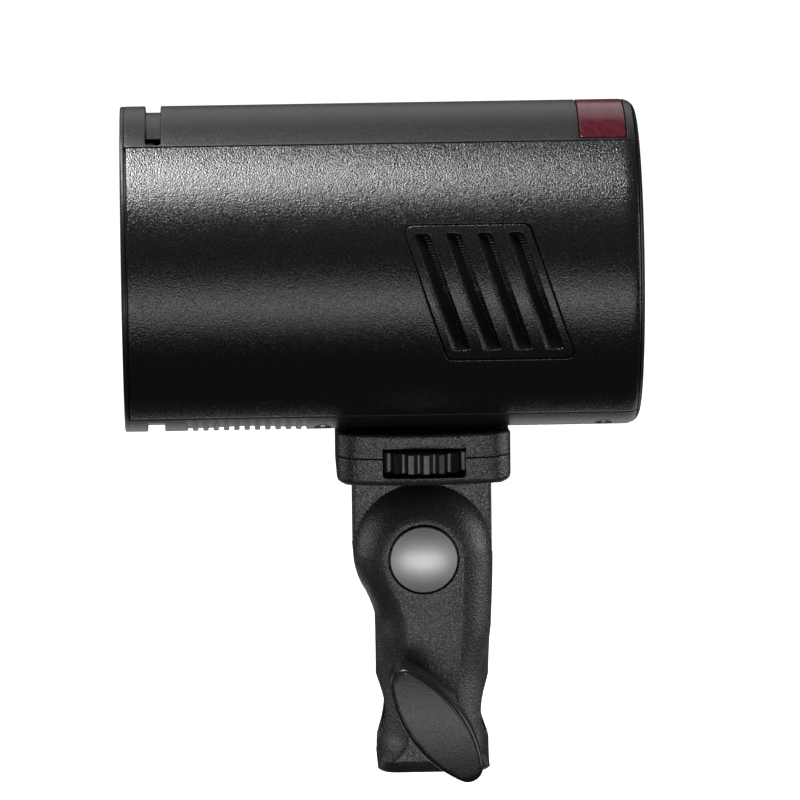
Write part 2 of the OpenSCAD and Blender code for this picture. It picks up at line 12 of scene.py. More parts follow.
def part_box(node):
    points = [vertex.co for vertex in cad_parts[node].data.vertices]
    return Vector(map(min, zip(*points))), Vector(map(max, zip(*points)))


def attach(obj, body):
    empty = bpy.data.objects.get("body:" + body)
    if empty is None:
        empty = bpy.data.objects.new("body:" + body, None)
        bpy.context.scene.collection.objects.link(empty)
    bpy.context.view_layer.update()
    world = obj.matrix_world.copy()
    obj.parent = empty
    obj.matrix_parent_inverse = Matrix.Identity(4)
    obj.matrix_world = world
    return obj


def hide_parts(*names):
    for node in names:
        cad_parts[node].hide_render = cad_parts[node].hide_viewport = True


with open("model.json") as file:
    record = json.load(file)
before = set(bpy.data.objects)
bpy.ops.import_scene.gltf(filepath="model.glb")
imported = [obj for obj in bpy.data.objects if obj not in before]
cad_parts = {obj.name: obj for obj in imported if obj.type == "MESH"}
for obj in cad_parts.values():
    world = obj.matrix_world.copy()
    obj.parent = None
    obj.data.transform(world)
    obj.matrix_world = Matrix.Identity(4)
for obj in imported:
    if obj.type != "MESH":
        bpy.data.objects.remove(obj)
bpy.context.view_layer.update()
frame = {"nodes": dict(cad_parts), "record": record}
NODES = frame["nodes"]

# ---------------------------------------------------------------- sizes, in millimetres
MM = 0.001
GAP = 0.2
SKIN_GRID = 1.6


def corners(node):
    """Lowest and highest corner of a CAD node, in millimetres."""
    low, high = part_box(node)
    return low / MM, high / MM


def middle(node):
    low, high = corners(node)
    return (low + high) / 2


# The head. s runs back from its front edge. Half-widths of covers, notches and window are in degrees.
BEZEL_LOW, BEZEL_HIGH = corners("front_bezel")
HEAD_R = (BEZEL_HIGH.x - BEZEL_LOW.x) / 2
HEAD_Z = middle("front_bezel").z
FRONT_Y = BEZEL_LOW.y
HEAD_L = corners("rear_panel")[1].y - FRONT_Y
REAR_ROUND = 3.1
WALL = 2.4
CASING_FRONT = corners("top_cover")[0].y - FRONT_Y
COVER_FRONT = 0.95
CASING_REAR = corners("top_cover")[1].y - FRONT_Y
TOP_HALF = 31.5
BOTTOM_HALF = 34.0
SEAM = 0.2
TOP_NOTCH = (6.0, 9.5)
BOTTOM_NOTCH = (5.3, 9.3)
NOTCH_HALF = 30.5
NOTCH_FLOOR_HALF = 24.0
NOTCH_DEPTH = 1.5
WINDOW_S = (106.0, 117.0)
WINDOW_HALF = 30.5
VENT_START, VENT_PITCH, VENT_SLOT, VENT_COUNT, VENT_HALF = 14.6, 2.41, 1.16, 12, 20.3
FAN_S = middle("fan_rotor").y - FRONT_Y
FAN_R = 12.8
GRILLE_UP = 15.7
GRILLE_TOP = (64.6, 93.4)
GRILLE_BOTTOM = (74.8, 104.0)
SLOT_UP, SLOT_DOWN = 14.0, -13.4
SLOT_TOP = (66.8, 70.6)
SLOT_BOTTOM = (75.6, 79.9)
SLOT_PITCH, SLOT_COUNT = 7.17, 4
# The platform and bracket.
PIVOT_Y, PIVOT_Z = middle("pivot_cap").y, middle("pivot_cap").z
PLATFORM_Y = middle("platform_lower").y
PLATFORM_LOW = corners("platform_lower")[0].z
PLATFORM_SEAM = corners("platform_lower")[1].z
PLATFORM_TOP = corners("platform_upper")[1].z
PLATFORM_W, PLATFORM_L, PLATFORM_BULGE = 34.0, 40.7, 100.0
WHEEL_Z = (corners("thumbwheel")[0].z, corners("thumbwheel")[1].z)
GRIP_HALF = corners("bracket_base")[1].x
KNOB_Z = middle("stand_knob").z
PADDLE_L, PADDLE_W, PADDLE_ANGLE = 32.5, 13.5, -55.0
PADDLE_THICK, PADDLE_DOME, PADDLE_RIM = 8.4, 1.3, 1.1
FOOT_FRONT, FOOT_REAR = -13.4, 13.2
FLANK_R = 17.0
SLOT_FLOOR = 35.2
CHEEK_R, CHEEK_IN, POCKET_R = 16.5, 6.2, 8.4
CROWN_R, CROWN_X = 10.43, 4.0
CROWN_TURN = (12.2, 73.0)
BOLT_R = 4.05
UPRIGHT_R, UPRIGHT_DEPTH = 8.1, 31
CROSS_R, CROSS_Z = 7.98, 13.5


# ---------------------------------------------------------------- outlines
def arc(centre, radius, start, end, steps):
    """Points on a circle, from one angle to another in degrees."""
    angles = [math.radians(start + (end - start) * i / steps) for i in range(steps + 1)]
    return [Vector((centre[0] + radius * math.cos(a), centre[1] + radius * math.sin(a))) for a in angles]


def circle(centre, radius, steps=64):
    return arc(centre, radius, 0, 360, steps)[:-1]


def soften(points, radius, steps=4):
    """Round the corners of a closed outline. radius is one number, or one for each corner."""
    rounded = []
    count = len(points)
    for i in range(count):
        r = radius if isinstance(radius, (int, float)) else radius[i]
        corner = Vector(points[i])
        a = Vector(points[i - 1]) - corner
        b = Vector(points[(i + 1) % count]) - corner
        half = a.angle(b) / 2
        if r <= 0 or half > math.radians(89):
            rounded.append(corner)
            continue
        reach = min(r / math.tan(half), a.length * 0.49, b.length * 0.49)
        a.normalize()
        b.normalize()
        centre = corner + (a + b).normalized() * (reach / math.cos(half))
        first = corner + a * reach - centre
        last = corner + b * reach - centre
        turn = first.angle(last)
        if first.x * last.y - first.y * last.x < 0:
            turn = -turn
        rounded += [centre + Matrix.Rotation(turn * k / steps, 2) @ first for k in range(steps + 1)]
    return rounded


def rectangle(low, high, radius=0.0, steps=4):
    points = [(low[0], low[1]), (high[0], low[1]), (high[0], high[1]), (low[0], high[1])]
    return soften(points, radius, steps)


def fine(loop, step):
    """The same outline with no stretch longer than the step."""
    points = []
    for i in range(len(loop)):
        a, b = Vector(loop[i]), Vector(loop[(i + 1) % len(loop)])
        count = max(1, math.ceil((b - a).length / step))
        points += [a.lerp(b, k / count) for k in range(count)]
    return points


def signed_area(loop):
    return sum(a[0] * b[1] - a[1] * b[0] for a, b in zip(loop, loop[1:] + loop[:1])) / 2


def inset(loop, distance):
    """Move an outline to the left of its direction."""
    moved = []
    count = len(loop)
    for i in range(count):
        here = Vector(loop[i])
        before = (here - Vector(loop[i - 1])).normalized()
        after = (Vector(loop[(i + 1) % count]) - here).normalized()
        side = Vector((-before.y - after.y, before.x + after.x)).normalized()
        square = max(0.35, side.dot(Vector((-before.y, before.x))))
        moved.append(here + side * (distance / square))
    return moved


def within(points, loops):
    """Which points lie inside the outlines, holes left out."""
    points = np.array([tuple(p) for p in points]).reshape(-1, 2)
    odd = np.zeros(len(points), bool)
    for loop in loops:
        a = np.array([tuple(p) for p in loop])
        b = np.roll(a, -1, axis=0)
        px, py = points[:, 0:1], points[:, 1:2]
        spans = (a[:, 1] > py) != (b[:, 1] > py)
        rise = np.where(b[:, 1] == a[:, 1], 1e-9, b[:, 1] - a[:, 1])
        left = px < a[:, 0] + (py - a[:, 1]) / rise * (b[:, 0] - a[:, 0])
        odd ^= (np.sum(spans & left, axis=1) % 2).astype(bool)
    return odd


def grid_points(loops, step):
    """A regular grid inside the outlines, kept clear of their edges."""
    edge = np.array([tuple(p) for loop in loops for p in loop])
    low, high = edge.min(0), edge.max(0)
    xs = np.arange(low[0] + step / 2, high[0], step)
    ys = np.arange(low[1] + step / 2, high[1], step)
    points = np.array(np.meshgrid(xs, ys)).reshape(2, -1).T
    points = points[within(points, loops)]
    clear = [np.min(np.sum((edge - p) ** 2, axis=1)) > (0.45 * step) ** 2 for p in points]
    return [Vector(p) for p, keep in zip(points, clear) if keep]


# ---------------------------------------------------------------- solids: points and faces, in millimetres
def plate(place, loops, thickness, edge, back_edge=0.0, grid=None, backs=None, steps=3):
    """A closed solid from outlines, outer first and then holes, with rounded edges on its face and back.

    place(u, v, depth) gives a point's position. backs gives some holes another outline at the back.
    """
    loops = [list(map(Vector, loop)) for loop in loops]
    if grid:
        loops = [fine(loop, grid) for loop in loops]
        backs = {k: fine(b, grid) for k, b in (backs or {}).items()}
    backs = backs or {}
    for k, loop in enumerate(loops):
        if (signed_area(loop) > 0) != (k == 0):
            loop.reverse()
            if k in backs:
                backs[k] = list(reversed(backs[k]))
    levels = []
    for k in range(steps + 1):
        turn = math.pi / 2 * k / steps
        levels.append((edge * (1 - math.sin(turn)), edge * (1 - math.cos(turn))))
    if edge <= 0:
        levels = [(0.0, 0.0)]
    if back_edge > 0:
        for k in range(steps + 1):
            turn = math.pi / 2 * (1 - k / steps)
            levels.append((back_edge * (1 - math.sin(turn)), thickness - back_edge * (1 - math.cos(turn))))
    else:
        levels.append((0.0, thickness))
    points, faces = [], []
    first_rings, last_rings = [], []
    for k, loop in enumerate(loops):
        rings = []
        for shift, depth in levels:
            flat = inset(loop, shift)
            if k in backs:
                slope = depth / thickness
                flat = [p.lerp(q, slope) for p, q in zip(flat, inset(backs[k], shift))]
            start = len(points)
            points += [place(p[0], p[1], depth) for p in flat]
            rings.append((flat, list(range(start, start + len(flat)))))
        for (_, one), (_, two) in zip(rings, rings[1:]):
            count = len(one)
            faces += [(one[i], one[(i + 1) % count], two[(i + 1) % count], two[i]) for i in range(count)]
        first_rings.append(rings[0])
        last_rings.append(rings[-1])
    for rings, depth in ((first_rings, 0.0), (last_rings, thickness)):
        outlines = [flat for flat, _ in rings]
        known = [index for _, ring in rings for index in ring]
        flat = [p for outline in outlines for p in outline]
        outline_faces, start = [], 0
        for k, outline in enumerate(outlines):
            face = list(range(start, start + len(outline)))
            outline_faces.append(face[::-1] if k else face)
            start += len(outline)
        if grid:
            flat += grid_points(outlines, grid)
        cut = delaunay_2d_cdt(flat, [], outline_faces, 1, 1e-7)
        corners_out, triangles, sources, owners = cut[0], cut[2], cut[3], cut[5]
        ids = []
        for at, source in zip(corners_out, sources):
            if source and source[0] < len(known):
                ids.append(known[source[0]])
            else:
                ids.append(len(points))
                points.append(place(at[0], at[1], depth))
        faces += [tuple(ids[i] for i in t) for t, owner in zip(triangles, owners) if set(owner) == {0}]
    return points, faces


def lathe(place, profile, steps=128):
    """A closed profile turned a whole turn. place(r, along, angle) gives a point's position."""
    count = len(profile)
    points = [place(r, along, 2 * math.pi * k / steps) for k in range(steps) for r, along in profile]
    faces = []
    for k in range(steps):
        one, two = k * count, (k + 1) % steps * count
        faces += [(one + i, one + (i + 1) % count, two + (i + 1) % count, two + i) for i in range(count)]
    return points, faces


def loft(rings):
    """A closed solid through rings with the same number of points."""
    count = len(rings[0])
    points = [p for ring in rings for p in ring]
    faces = [tuple(range(count)), tuple(range(len(points) - count, len(points)))]
    for k in range(len(rings) - 1):
        one, two = k * count, (k + 1) * count
        faces += [(one + i, one + (i + 1) % count, two + (i + 1) % count, two + i) for i in range(count)]
    return points, faces


def joined(*solids):
    points, faces = [], []
    for some_points, some_faces in solids:
        start = len(points)
        points += some_points
        faces += [tuple(start + i for i in face) for face in some_faces]
    return points, faces


def tidy_mesh(mesh):
    bm = bmesh.new()
    bm.from_mesh(mesh)
    bmesh.ops.remove_doubles(bm, verts=bm.verts, dist=0.002 * MM)
    bmesh.ops.delete(bm, geom=[edge for edge in bm.edges if not edge.link_faces], context="EDGES")
    bmesh.ops.holes_fill(bm, edges=[edge for edge in bm.edges if edge.is_boundary])
    bmesh.ops.recalc_face_normals(bm, faces=bm.faces)
    bm.to_mesh(mesh)
    bm.free()


def raw_object(name, solid):
    mesh = bpy.data.meshes.new(name)
    mesh.from_pydata([Vector(p) * MM for p in solid[0]], [], solid[1])
    tidy_mesh(mesh)
    obj = bpy.data.objects.new(name, mesh)
    bpy.context.scene.collection.objects.link(obj)
    return obj


def combine(obj, solid, operation):
    """Cut a solid from the object, or add it."""
    tool = raw_object("tool", solid)
    change = obj.modifiers.new("combine", "BOOLEAN")
    change.object = tool
    change.operation = operation
    change.solver = "EXACT"
    evaluated = obj.evaluated_get(bpy.context.evaluated_depsgraph_get())
    mesh = bpy.data.meshes.new_from_object(evaluated)
    obj.modifiers.clear()
    obj.data = mesh
    bpy.data.objects.remove(tool)


def finish_edges(obj, bevel):
    for polygon in obj.data.polygons:
        polygon.use_smooth = True
    if bevel:
        edges = obj.modifiers.new("edges", "BEVEL")
        edges.width = bevel * MM
        edges.segments = 2
        edges.limit_method = "ANGLE"
        edges.angle_limit = math.radians(32)
        edges.harden_normals = True
    else:
        obj.data.set_sharp_from_angle(angle=math.radians(38))
        weighted = obj.modifiers.new("normals", "WEIGHTED_NORMAL")
        weighted.keep_sharp = True


def piece(name, solid, body, slot, nodes, adds=(), cuts=(), bevel=0.0):
    """A finished piece that rides on a body, takes a slot's material and stands for CAD nodes."""
    obj = raw_object(name, solid)
    for tool in adds:
        combine(obj, tool, "UNION")
    for tool in cuts:
        combine(obj, tool, "DIFFERENCE")
    if cuts:
        tidy_mesh(obj.data)
    finish_edges(obj, bevel)
    obj.data.materials.clear()
    obj.data.materials.append(MATERIALS[slot])
    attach(obj, body)
    if nodes:
        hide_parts(*nodes)
    return obj


# ---------------------------------------------------------------- places
def in_head(x, up, s):
    return Vector((x, FRONT_Y + s, HEAD_Z + up))


def skin_radius(s):
    past = s - (HEAD_L - REAR_ROUND)
    if past <= 0:
        return HEAD_R
    return HEAD_R - REAR_ROUND + math.sqrt(max(0.0, REAR_ROUND ** 2 - past ** 2))


def skin(u, s, depth):
    """A point under the head's round skin: u is the way round it from +X, s the depth from the front."""
    radius = skin_radius(s) - depth
    return in_head(radius * math.cos(u / HEAD_R), radius * math.sin(u / HEAD_R), s)


def head_turn(r, s, angle):
    return in_head(r * math.cos(angle), r * math.sin(angle), s)


def around(degrees):
    return math.radians(degrees) * HEAD_R


def level(up):
    """The way round the skin from +X to a height above the head's axis."""
    return math.asin(up / HEAD_R) * HEAD_R


def below(x):
    """The way round the skin to a place x on the underside."""
    return around(270) + math.asin(x / HEAD_R) * HEAD_R


def rear_face(s):
    """Flat pieces on the back of the head: u to +X, v up, depth forward from s."""
    return lambda u, v, depth: in_head(u, v, s - depth)


def side_face(x):
    """Flat pieces on the bracket's side: u to the rear, v up, depth inward from x."""
    return lambda u, v, depth: Vector((x - math.copysign(depth, x), u, v))


def flat_face(z):
    return lambda u, v, depth: Vector((u, v, z - depth))


def pivot_turn(r, x, angle):
    return Vector((x, PIVOT_Y + r * math.cos(angle), PIVOT_Z + r * math.sin(angle)))


def knob_turn(r, x, angle):
    return Vector((x, r * math.cos(angle), KNOB_Z + r * math.sin(angle)))


# ---------------------------------------------------------------- materials
def textured(name, colour, roughness, grain, depth, metallic=0.0, mottle=0.12, spread=0.06, **sockets):
    """A principled material with a procedural grain: its size and depth are in millimetres."""
    material = bpy.data.materials.new(name)
    material.use_nodes = True
    nodes, links = material.node_tree.nodes, material.node_tree.links
    shader = nodes["Principled BSDF"]
    shader.inputs["Metallic"].default_value = metallic
    for socket, value in sockets.items():
        shader.inputs[socket.replace("_", " ")].default_value = value
    place = nodes.new("ShaderNodeTexCoord")
    noise = nodes.new("ShaderNodeTexNoise")
    noise.inputs["Scale"].default_value = 1 / (grain * MM)
    noise.inputs["Detail"].default_value = 1.5
    links.new(place.outputs["Object"], noise.inputs["Vector"])
    bump = nodes.new("ShaderNodeBump")
    bump.inputs["Distance"].default_value = depth * MM
    links.new(noise.outputs["Fac"], bump.inputs["Height"])
    links.new(bump.outputs["Normal"], shader.inputs["Normal"])
    tint = nodes.new("ShaderNodeMixRGB")
    tint.inputs["Color1"].default_value = [c * (1 - mottle) for c in colour] + [1]
    tint.inputs["Color2"].default_value = [c * (1 + mottle) for c in colour] + [1]
    links.new(noise.outputs["Fac"], tint.inputs["Fac"])
    links.new(tint.outputs["Color"], shader.inputs["Base Color"])
    sheen = nodes.new("ShaderNodeTexNoise")
    sheen.inputs["Scale"].default_value = 1.4 / (grain * MM)
    links.new(place.outputs["Object"], sheen.inputs["Vector"])
    gloss = nodes.new("ShaderNodeMapRange")
    gloss.inputs["From Min"].default_value = 0.36
    gloss.inputs["From Max"].default_value = 0.64
    gloss.inputs["To Min"].default_value = max(0.02, roughness - spread)
    gloss.inputs["To Max"].default_value = roughness + spread
    links.new(sheen.outputs["Fac"], gloss.inputs["Value"])
    links.new(gloss.outputs["Result"], shader.inputs["Roughness"])
    return material


GRAINED = dict(grain=0.37, depth=0.10, spread=0.12)
MATERIALS = {
    "casing": textured("casing", (0.007, 0.007, 0.008), 0.22, mottle=0.3, **GRAINED),
    "cover": textured("cover", (0.012, 0.012, 0.013), 0.34, 0.35, 0.03, spread=0.1, Specular_IOR_Level=0.24),
    "red_window": textured("red_window", (0.050, 0.006, 0.011), 0.20, 2.0, 0.002, Specular_IOR_Level=0.3),
    "grille": textured("grille", (0.008, 0.008, 0.009), 0.24, mottle=0.3, **GRAINED),
    "screen_mesh": textured("screen_mesh", (0.012, 0.012, 0.012), 0.35, 0.4, 0.01),
    "front_glass": textured("front_glass", (0.92, 0.94, 0.95), 0.10, 1.6, 0.25, Transmission_Weight=1.0),
    "reflector": textured("reflector", (0.80, 0.80, 0.82), 0.20, 1.2, 0.03, metallic=1.0),
    "tube_glass": textured("tube_glass", (0.93, 0.94, 0.96), 0.08, 2.0, 0.002, Transmission_Weight=0.9),
    "ceramic": textured("ceramic", (0.80, 0.78, 0.72), 0.30, 0.8, 0.004),
    "circuit_board": textured("circuit_board", (0.03, 0.12, 0.06), 0.35, 0.8, 0.01),
    "led_lens": textured("led_lens", (0.95, 0.85, 0.50), 0.35, 0.5, 0.01, Transmission_Weight=0.6),
    "display_glass": textured("display_glass", (0.012, 0.013, 0.015), 0.06, 3.0, 0.0005, Coat_Weight=0.6),
    "lcd": textured("lcd", (0.05, 0.06, 0.08), 0.30, 1.0, 0.001),
    "capacitor_sleeve": textured("capacitor_sleeve", (0.03, 0.03, 0.04), 0.25, 1.0, 0.003),
    "transformer": textured("transformer", (0.35, 0.22, 0.08), 0.30, 0.4, 0.02),
    "fan_plastic": textured("fan_plastic", (0.022, 0.022, 0.022), 0.40, 0.6, 0.004),
    "brass": textured("brass", (0.70, 0.52, 0.24), 0.25, 0.4, 0.003, metallic=1.0),
    "chassis": textured("chassis", (0.05, 0.05, 0.055), 0.45, 0.8, 0.01),
    "port_steel": textured("port_steel", (0.45, 0.45, 0.46), 0.30, 0.5, 0.004, metallic=1.0),
    "steel": textured("steel", (0.50, 0.50, 0.51), 0.28, 0.5, 0.004, metallic=1.0),
    "bracket_plastic": textured("bracket_plastic", (0.020, 0.020, 0.021), 0.33, 0.43, 0.17, mottle=0.3,
                                spread=0.18, Specular_IOR_Level=0.7),
    "rubber": textured("rubber", (0.018, 0.018, 0.018), 0.75, 0.5, 0.02),
    "key_plastic": textured("key_plastic", (0.030, 0.030, 0.032), 0.50, 0.4, 0.01),
    "switch_plastic": textured("switch_plastic", (0.22, 0.22, 0.23), 0.40, 0.4, 0.008),
    "cell_sleeve": textured("cell_sleeve", (0.05, 0.16, 0.35), 0.30, 1.0, 0.003),
    "latch_red": textured("latch_red", (0.22, 0.02, 0.03), 0.38, 0.4, 0.008),
    "wheel_plastic": textured("wheel_plastic", (0.014, 0.014, 0.015), 0.30, 0.4, 0.008),
    "cap_silver": textured("cap_silver", (0.54, 0.54, 0.55), 0.44, 0.3, 0.004, metallic=0.9),
    "knob_plastic": textured("knob_plastic", (0.012, 0.012, 0.013), 0.28, 0.37, 0.04, spread=0.08,
                             Specular_IOR_Level=0.42),
}


# ---------------------------------------------------------------- the head
def casing_patch(start, end, holes=(), edge=0.35, front=CASING_FRONT):
    """A wall of the head between two angles in degrees."""
    outline = [(around(start), front), (around(end), front),
               (around(end), CASING_REAR), (around(start), CASING_REAR)]
    return plate(skin, [outline, *holes], WALL, edge, grid=SKIN_GRID)


def grille_outline(grow, radius):
    top, bottom = level(GRILLE_UP + grow), level(-GRILLE_UP - grow)
    points = [(top, GRILLE_TOP[0] - grow), (top, GRILLE_TOP[1] + grow),
              (bottom, GRILLE_BOTTOM[1] + grow), (bottom, GRILLE_BOTTOM[0] - grow)]
    return soften(points, radius)


def notch_hole(notch, centre):
    return rectangle((around(centre - NOTCH_HALF), notch[0]), (around(centre + NOTCH_HALF), notch[1]), 0.9)


def notch_floor(notch, centre):
    outline = rectangle((around(centre - NOTCH_FLOOR_HALF), notch[0] - 0.1),
                        (around(centre + NOTCH_FLOOR_HALF), notch[1] + 0.1))
    return plate(lambda u, s, depth: skin(u, s, depth + NOTCH_DEPTH), [outline], WALL - NOTCH_DEPTH, 0,
                 grid=SKIN_GRID)


def side_casings():
    right = casing_patch(-90 + BOTTOM_HALF + SEAM, 90 - TOP_HALF - SEAM, [grille_outline(0.25, 1.7)])
    piece("casing_right", right, "head", "casing", ["side_casing_right"])
    low, high = corners("battery_shell")
    half = level(high.z - HEAD_Z + GAP)
    bay = rectangle((around(180) - half, low.y - FRONT_Y - GAP),
                    (around(180) + half, high.y - FRONT_Y + GAP), 0.6)
    left = casing_patch(90 + TOP_HALF + SEAM, 270 - BOTTOM_HALF - SEAM, [bay])
    piece("casing_left", left, "head", "casing", ["side_casing_left"])


def top_cover():
    window = rectangle((around(90 - WINDOW_HALF), WINDOW_S[0]), (around(90 + WINDOW_HALF), WINDOW_S[1]), 0.4)
    cover = casing_patch(90 - TOP_HALF, 90 + TOP_HALF, [notch_hole(TOP_NOTCH, 90), window], edge=0.3,
                         front=COVER_FRONT)
    piece("cover_top", joined(cover, notch_floor(TOP_NOTCH, 90)), "head", "cover", ["top_cover"])
    gap = 0.15
    glass = rectangle((around(90 - WINDOW_HALF + 0.3), WINDOW_S[0] + gap),
                      (around(90 + WINDOW_HALF - 0.3), WINDOW_S[1] - gap), 0.5)
    piece("window", plate(skin, [glass], 1.8, 0.35, grid=1.4), "head", "red_window", ["sensor_window"])


def bottom_cover():
    slots = []
    for i in range(VENT_COUNT):
        s = VENT_START + i * VENT_PITCH
        slots.append(rectangle((below(-VENT_HALF), s), (below(VENT_HALF), s + VENT_SLOT), VENT_SLOT * 0.49))
    platform_s = PLATFORM_Y - FRONT_Y
    insert = [Vector((below(p.x), p.y)) for p in circle((0, platform_s), 6.5, 48)]
    low, high = corners("port_cover")
    port = rectangle((below(low.x - GAP), low.y - FRONT_Y - GAP),
                     (below(high.x + GAP), high.y - FRONT_Y + GAP), 0.6)
    screws = [[Vector((below(p.x), p.y)) for p in circle((x, s), 2.0, 24)]
              for x in (-13, 13) for s in (46, 111.5)]
    cover = casing_patch(270 - BOTTOM_HALF, 270 + BOTTOM_HALF,
                         [notch_hole(BOTTOM_NOTCH, 270), insert, port, *slots, *screws], edge=0.25,
                         front=COVER_FRONT)
    fan_hole = [Vector((below(p.x), p.y)) for p in circle((0, FAN_S), FAN_R, 64)]
    tray = rectangle((below(-VENT_HALF - 0.5), VENT_START - 0.5),
                     (below(VENT_HALF + 0.5), VENT_START + VENT_PITCH * (VENT_COUNT - 1) + VENT_SLOT + 0.5))
    channels = plate(lambda u, s, depth: skin(u, s, depth + 0.6), [tray, fan_hole], 0.8, 0, grid=SKIN_GRID)
    solid = joined(cover, notch_floor(BOTTOM_NOTCH, 270), channels)
    piece("cover_bottom", solid, "head", "cover", ["bottom_cover"])


def side_grille():
    """The leaning panel: each slot's front side slopes back as it goes in."""
    slope_in = 2.7
    slots, backs = [], {}
    for i in range(SLOT_COUNT):
        shift = i * SLOT_PITCH
        outline, back = [], []
        for slope, target in ((0.0, outline), (slope_in, back)):
            target += soften([
                (level(SLOT_UP), SLOT_TOP[0] + shift + slope), (level(SLOT_UP), SLOT_TOP[1] + shift),
                (level(SLOT_DOWN), SLOT_BOTTOM[1] + shift),
                (level(SLOT_DOWN), SLOT_BOTTOM[0] + shift + slope)], 0.3)
        slots.append(even(outline, 60))
        backs[i + 1] = even(back, 60)
    panel = plate(skin, [even(grille_outline(0, 1.4), 90), *slots], 2.8, 0.2, backs=backs)
    piece("grille", panel, "head", "grille", ["side_grille"])
    wires()


def even(loop, count):
    """The same closed outline through a number of evenly spaced points, starting at its first."""
    loop = [Vector(p) for p in loop]
    lengths = [(b - a).length for a, b in zip(loop, loop[1:] + loop[:1])]
    whole = sum(lengths)
    points, walked, k = [], 0.0, 0
    for i in range(count):
        target = whole * i / count
        while walked + lengths[k] < target:
            walked += lengths[k]
            k += 1
        a, b = loop[k], loop[(k + 1) % len(loop)]
        points.append(a.lerp(b, (target - walked) / lengths[k]))
    return points


def wires():
    """A woven screen just inside the grille."""
    pitch, wire, margin = 0.7, 0.12, 0.6
    edge_up = GRILLE_UP - margin
    _, high = corners("grille_screen")
    depth = HEAD_R - high.x + wire
    solids = []

    def lean(up):
        """Where the screen starts and ends along the head at a height."""
        share = (GRILLE_UP - up) / (2 * GRILLE_UP)
        return (GRILLE_TOP[0] + share * (GRILLE_BOTTOM[0] - GRILLE_TOP[0]) + 0.8,
                GRILLE_TOP[1] + share * (GRILLE_BOTTOM[1] - GRILLE_TOP[1]) - 0.8)

    def strand(ends, sections, side_u, side_s):
        rings = []
        for t in range(sections + 1):
            u = ends[0][0] + (ends[1][0] - ends[0][0]) * t / sections
            s = ends[0][1] + (ends[1][1] - ends[0][1]) * t / sections
            rings.append([skin(u + wire * math.cos(a) * side_u, s + wire * math.cos(a) * side_s,
                               depth + wire * math.sin(a)) for a in (0, 1.26, 2.51, 3.77, 5.03)])
        solids.append(loft(rings))

    rows = int(2 * edge_up / pitch)
    for i in range(rows + 1):
        up = i * pitch - edge_up
        s0, s1 = lean(up)
        strand(((level(up), s0), (level(up), s1)), 1, 1, 0)
    top_s, bottom_s = lean(edge_up), lean(-edge_up)
    columns = int((top_s[1] - top_s[0]) / pitch)
    for i in range(columns + 1):
        strand(((level(edge_up), top_s[0] + i * pitch), (level(-edge_up), bottom_s[0] + i * pitch)), 14, 0, 1)
    piece("screen", joined(*solids), "head", "screen_mesh", ["grille_screen"])


def front_end():
    outside, step = HEAD_R - 0.02, HEAD_R - 1.0
    ring = soften([(32.5, 0.0), (outside, 0.0), (outside, COVER_FRONT), (step, COVER_FRONT), (step, 1.3),
                   (35.4, 1.3), (35.4, 8.0), (33.5, 8.0), (33.5, 1.2), (32.5, 1.2)],
                  [0.4, 0.8, 0.1, 0.05, 0, 0, 0.3, 0.3, 0, 0.2], 6)
    piece("bezel", lathe(head_turn, ring, 256), "head", "cover", ["front_bezel"])
    pane = plate(rear_face(4.2), [circle((0, 0), 33.4, 128)], 2.95, 0.3, 0.3, grid=1.2)
    piece("glass", pane, "head", "front_glass", ["front_glass"])


def rear_end():
    inside = HEAD_R - WALL - GAP
    rim = [(inside, 116.4), (inside, 119.2)]
    rim += [(skin_radius(s), s) for s in (119.2, 119.35, 119.5, 119.65, 119.8, 119.9, 119.97, HEAD_L)]
    rim += [(33.8, HEAD_L), (33.3, 119.7), (32.9, 118.5), (32.6, 118.2), (32.6, 116.4)]
    holes = []
    for node, is_round in (("control_dial", True), ("menu_button", False), ("group_button", False),
                           ("mode_button", False), ("sync_button", False), ("test_button", True),
                           ("lamp_button", True)):
        low, high = corners(node)
        half = min(high.x - low.x, high.z - low.z) / 2
        radius = half if is_round else 0.9
        holes.append(rectangle((low.x - GAP, low.z - GAP - HEAD_Z), (high.x + GAP, high.z + GAP - HEAD_Z),
                               (radius + GAP) * 0.98, 10))
    low, high = corners("display_window")
    holes.append(rectangle((low.x - 0.1, low.z - HEAD_Z - 0.1), (high.x + 0.1, high.z - HEAD_Z + 0.1), 1.6))
    low, high = corners("power_switch")
    travel = 4.0
    holes.append(rectangle((low.x - GAP, low.z - HEAD_Z - 0.3),
                           (high.x + GAP, high.z - HEAD_Z + travel + 0.3), 1.0))
    wall_plate = plate(rear_face(118.4), [circle((0, 0), 32.8, 128), *holes], 2.0, 0.25, grid=3.0)
    seat = [rectangle((low.x - 1, low.z - HEAD_Z - 1), (high.x + 1, high.z - HEAD_Z + 5))]
    backing = plate(rear_face(117.0), seat, 0.6, 0)
    piece("panel", joined(lathe(head_turn, rim, 256), wall_plate, backing), "head", "cover", ["rear_panel"])


# ---------------------------------------------------------------- platform, tongue and bracket
def platform_outline(shrink=0.0):
    half_w, half_l = PLATFORM_W / 2 - shrink, PLATFORM_L / 2 - shrink
    box = fine(rectangle((-half_w, -half_l), (half_w, half_l), 5.0 - shrink, 8), 1.2)
    return [Vector((p.x * (1 - p.y ** 2 / (2 * PLATFORM_BULGE * half_w)), p.y + PLATFORM_Y)) for p in box]


def wheel_cutters():
    """The thumbwheel's round cavity and the window at each end of it."""
    cavity = lathe(lambda r, z, a: Vector((r * math.cos(a), PLATFORM_Y + r * math.sin(a), z)),
                   [(0.0, 72.2), (16.7, 72.2), (16.7, 78.0), (0.0, 78.0)], 96)
    openings = []
    for side in (-1, 1):
        def place(u, v, depth, side=side):
            return Vector((side * (20 - depth), u + PLATFORM_Y, v))
        opening = rectangle((-9.75, 71.9), (9.75, 80.4), 1.0)
        openings.append(plate(place, [opening], 8, 0))
    return [cavity, *openings]


